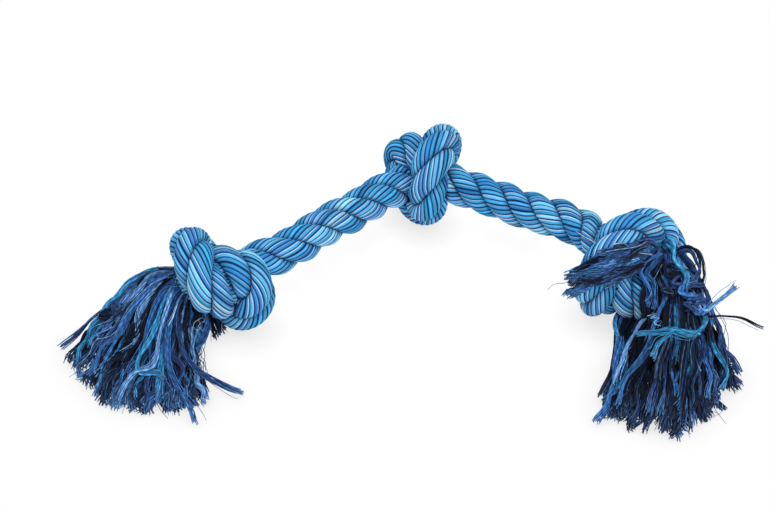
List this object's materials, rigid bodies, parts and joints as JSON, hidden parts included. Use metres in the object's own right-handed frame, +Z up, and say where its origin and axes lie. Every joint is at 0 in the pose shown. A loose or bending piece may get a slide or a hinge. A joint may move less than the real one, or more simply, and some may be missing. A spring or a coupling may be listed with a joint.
{
  "type": "rope tug toy",
  "caption": "Thick laid cotton rope with an overhand knot at its middle and near each end and frayed tassel ends; a dog's tug toy that bends between its knots.",
  "frame": {"origin": "in the flat under the middle knot, on the floor that the toy lies on", "axes": "+X along the toy from its left tassel to its right one, +Z up from the floor, -Y towards the tassels' tips"},
  "size_m": [0.4334, 0.2376, 0.0705],
  "materials": {
    "laid_cotton": "twisted cotton yarn in mixed blues",
    "frayed_cotton": "loose cotton yarn in dark blues"
  },
  "bodies": {
    "middle_knot": {"middle_knot_strand_a": "laid_cotton", "middle_knot_strand_b": "laid_cotton", "middle_knot_strand_c": "laid_cotton"},
    "left_span": {"left_span_strand_a": "laid_cotton", "left_span_strand_b": "laid_cotton", "left_span_strand_c": "laid_cotton"},
    "right_span": {"right_span_strand_a": "laid_cotton", "right_span_strand_b": "laid_cotton", "right_span_strand_c": "laid_cotton"},
    "left_knot": {"left_knot_strand_a": "laid_cotton", "left_knot_strand_b": "laid_cotton", "left_knot_strand_c": "laid_cotton"},
    "right_knot": {"right_knot_strand_a": "laid_cotton", "right_knot_strand_b": "laid_cotton", "right_knot_strand_c": "laid_cotton"},
    "left_lock_a": {"left_lock_a": "frayed_cotton"},
    "left_lock_b": {"left_lock_b": "frayed_cotton"},
    "left_lock_c": {"left_lock_c": "frayed_cotton"},
    "right_lock_a": {"right_lock_a": "frayed_cotton"},
    "right_lock_b": {"right_lock_b": "frayed_cotton"},
    "right_lock_c": {"right_lock_c": "frayed_cotton"}
  },
  "joints": [
    {"name": "left_span_sway", "type": "hinge", "parent": "middle_knot", "child": "left_span", "pos_m": [-0.01805, -0.01684, 0.02582], "axis": [0, 0, 1], "range_deg": [-30, 30]},
    {"name": "right_span_sway", "type": "hinge", "parent": "middle_knot", "child": "right_span", "pos_m": [0.04949, -0.00987, 0.03145], "axis": [0, 0, 1], "range_deg": [-30, 30]},
    {"name": "left_knot_lift", "type": "hinge", "parent": "left_span", "child": "left_knot", "pos_m": [-0.0842, -0.06906, 0.03105], "axis": [-0.5142, 0.8577, 0], "range_deg": [-30, 30]},
    {"name": "right_knot_lift", "type": "hinge", "parent": "right_span", "child": "right_knot", "pos_m": [0.11417, -0.053, 0.03856], "axis": [-0.7841, -0.6206, 0], "range_deg": [-30, 30]},
    {"name": "left_lock_a_lift", "type": "hinge", "parent": "left_knot", "child": "left_lock_a", "pos_m": [-0.15613, -0.10335, 0.03274], "axis": [-0.8933, -0.4495, 0], "range_deg": [0, 30]},
    {"name": "left_lock_b_sway", "type": "hinge", "parent": "left_knot", "child": "left_lock_b", "pos_m": [-0.15528, -0.09438, 0.02756], "axis": [0, 0, -1], "range_deg": [0, 25]},
    {"name": "left_lock_c_lift", "type": "hinge", "parent": "left_knot", "child": "left_lock_c", "pos_m": [-0.15832, -0.09438, 0.0375], "axis": [-0.9809, 0.1943, 0], "range_deg": [0, 40]},
    {"name": "right_lock_a_sway", "type": "hinge", "parent": "right_knot", "child": "right_lock_a", "pos_m": [0.18246, -0.08623, 0.04043], "axis": [0, 0, 1], "range_deg": [0, 25]},
    {"name": "right_lock_b_lift", "type": "hinge", "parent": "right_knot", "child": "right_lock_b", "pos_m": [0.17551, -0.08914, 0.04758], "axis": [-0.3253, 0.9456, 0], "range_deg": [0, 40]},
    {"name": "right_lock_c_lift", "type": "hinge", "parent": "right_knot", "child": "right_lock_c", "pos_m": [0.17743, -0.09527, 0.03941], "axis": [-0.8439, 0.5364, 0], "range_deg": [0, 30]}
  ]
}
